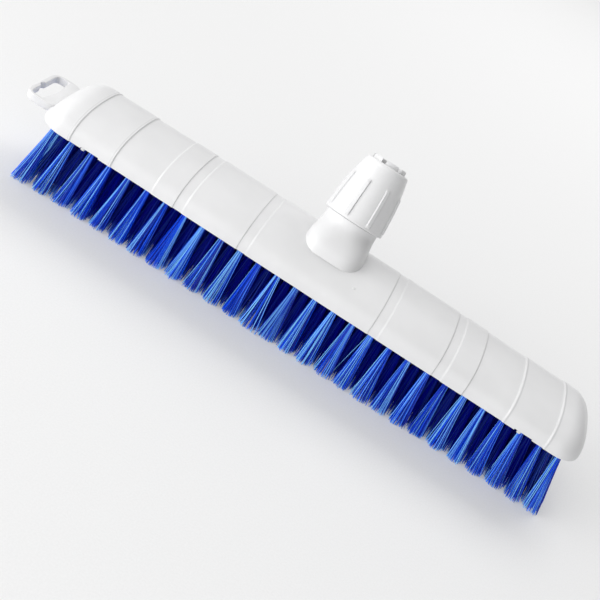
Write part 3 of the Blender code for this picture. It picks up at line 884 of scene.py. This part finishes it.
def tuft_holes():
    """One mesh of short round cutters, one below each tuft."""
    corners = [(HOLE_RADIUS * math.cos(a), HOLE_RADIUS * math.sin(a))
               for a in (2 * math.pi * i / HOLE_SIDES for i in range(HOLE_SIDES))]
    bm = bmesh.new()
    for row in range(ROW_COUNT):
        y = root_y(row)
        for x in tuft_places(row):
            lower, upper = ([bm.verts.new(local(x + dx, y + dy, z)) for dx, dy in corners]
                            for z in HOLE_CUT)
            add_band(bm, lower, upper)
            bm.faces.new(lower)
            bm.faces.new(upper)
    return mesh_object("holes", bm)


def make_block(mat):
    """The plate that holds the tufts, with the tabs that clip it into the rim."""
    rings = []
    for z, inset in BLOCK_SECTION:
        x, y = BLOCK_HALF_LENGTH - inset, BLOCK_HALF_WIDTH - inset
        rings.append(flat_ring(rounded(rectangle(-x, x, y), BLOCK_CORNER, steps=8), z))
    block = mesh_object("bristle_block", loft(rings))
    boolean(block, tuft_holes(), "DIFFERENCE")
    for x in TAB_PLACES:
        for face in (-1, 1):
            tab = side_box("tab", x, TAB_HALF_WIDTH, face, TAB_NEAR, TAB_REACH,
                           TAB_BOTTOM, TAB_TOP)
            bevel(tab, TAB_EDGE, segments=4, angle=30.0)
            boolean(block, tab, "UNION")
            lug = side_box("lug", x, LUG_HALF_WIDTH, face, LUG_NEAR, LUG_FAR,
                           LUG_BOTTOM, LUG_TOP)
            boolean(block, lug, "UNION")
    shade(block, angle=40.0)
    finish_piece(block, mat, "block_plastic", "tuft_block")


# ---------- stage, light and camera, with distances in metres ----------

FLOOR_SIZE, FLOOR_GLOW = 6.0, 0.205
FLOOR_DARK, FLOOR_PALE = (0.62, 0.62, 0.62), (0.65, 0.65, 0.65)
WORLD_NEAR, WORLD_FAR = 0.85, 0.10   # strength at the loop end and at the plain end
WORLD_SEEN = 0.9                     # strength that the camera sees
WORLD_SPAN = 0.9                     # reached at this X of the direction, to both sides

# Each light: place, target, size, power in watts, and whether it shows in gloss.
LIGHTS = {
    "key": ((-1.0, -0.42, 0.42), (0.0, 0.0, 0.03), (1.1, 0.9), 6.3, True),
    "top": ((0.3, 1.2, 1.5), (0.2, 0.5, 0.0), (1.4, 1.0), 18.0, False),
    "front": ((-0.3, -1.1, 0.42), (0.0, 0.0, 0.03), (2.2, 1.2), 9.0, True),
}

CAMERA_ELEVATION, CAMERA_AZIMUTH, CAMERA_ROLL = 30.0, 0.1, 32.92
CAMERA_DISTANCE, CAMERA_LENS = 0.664, 61.4
CAMERA_SHIFT = (-0.0356, -0.0496)
CAMERA_SENSOR, CAMERA_CLIP = 36.0, (0.01, 50.0)


def make_floor():
    bm = bmesh.new()
    bmesh.ops.create_grid(bm, x_segments=1, y_segments=1, size=FLOOR_SIZE)
    floor = mesh_object("floor", bm)
    n = Nodes("floor_paper")
    grain = n.span(n.noise(PAPER_SCALE), 0.0, 1.0)
    n.feed(n.mix(grain, FLOOR_DARK, FLOOR_PALE), "Base Color")
    n.set(Roughness=0.9, Specular_IOR_Level=0.1, Emission_Color=(1.0, 1.0, 1.0, 1.0),
          Emission_Strength=FLOOR_GLOW)
    floor.data.materials.append(n.mat)


def area_light(name, place, target, size, power, gloss):
    light = bpy.data.lights.new(name, "AREA")
    light.shape, light.size, light.size_y = "RECTANGLE", size[0], size[1]
    light.energy = power
    ob = link(name, light)
    ob.location = place
    ob.rotation_euler = (Vector(target) - Vector(place)).to_track_quat("-Z", "Y").to_euler()
    ob.visible_glossy = gloss


def make_world():
    """A white surround that is stronger at the loop's side, and even to the camera."""
    world = bpy.data.worlds.new("studio")
    world.use_nodes = True
    tree = world.node_tree
    back = tree.nodes["Background"]
    coords = tree.nodes.new("ShaderNodeTexCoord")
    split = tree.nodes.new("ShaderNodeSeparateXYZ")
    ramp = tree.nodes.new("ShaderNodeMapRange")
    for key, value in (("From Min", -WORLD_SPAN), ("From Max", WORLD_SPAN),
                       ("To Min", WORLD_NEAR), ("To Max", WORLD_FAR)):
        ramp.inputs[key].default_value = value
    tree.links.new(coords.outputs["Generated"], split.inputs[0])
    tree.links.new(split.outputs["X"], ramp.inputs["Value"])
    path = tree.nodes.new("ShaderNodeLightPath")
    pick = tree.nodes.new("ShaderNodeMix")
    tree.links.new(path.outputs["Is Camera Ray"], pick.inputs["Factor"])
    tree.links.new(ramp.outputs["Result"], pick.inputs["A"])
    pick.inputs["B"].default_value = WORLD_SEEN
    tree.links.new(pick.outputs["Result"], back.inputs["Strength"])
    back.inputs["Color"].default_value = (1.0, 1.0, 1.0, 1.0)
    bpy.context.scene.world = world


def make_camera():
    """Seen from 30 degrees above the front, rolled so that the head slants down."""
    elevation, azimuth = math.radians(CAMERA_ELEVATION), math.radians(CAMERA_AZIMUTH)
    back = Vector((math.sin(azimuth) * math.cos(elevation),
                   -math.cos(azimuth) * math.cos(elevation), math.sin(elevation)))
    data = bpy.data.cameras.new("camera")
    data.sensor_width = CAMERA_SENSOR
    data.lens = CAMERA_LENS
    data.shift_x, data.shift_y = CAMERA_SHIFT
    data.clip_start, data.clip_end = CAMERA_CLIP
    camera = link("camera", data)
    turn = (-back).to_track_quat("-Z", "Y").to_matrix().to_4x4()
    camera.matrix_world = (Matrix.Translation(local(0.0, 0.0, 0.0) + back * CAMERA_DISTANCE)
                           @ turn @ Matrix.Rotation(math.radians(CAMERA_ROLL), 4, "Z"))
    bpy.context.scene.camera = camera


def build():
    cover_plastic = moulded_plastic("cover")
    make_cover(cover_plastic)
    make_loop(cover_plastic)
    make_socket(moulded_plastic("socket"))
    make_collar(moulded_plastic("collar"))
    make_block(moulded_plastic("block"))
    blue = bristle_material()
    for row in range(ROW_COUNT):
        make_row(row, blue)
    make_floor()
    make_world()
    for name, settings in LIGHTS.items():
        area_light(name, *settings)
    make_camera()
    bpy.context.scene.view_settings.view_transform = "Standard"


build()
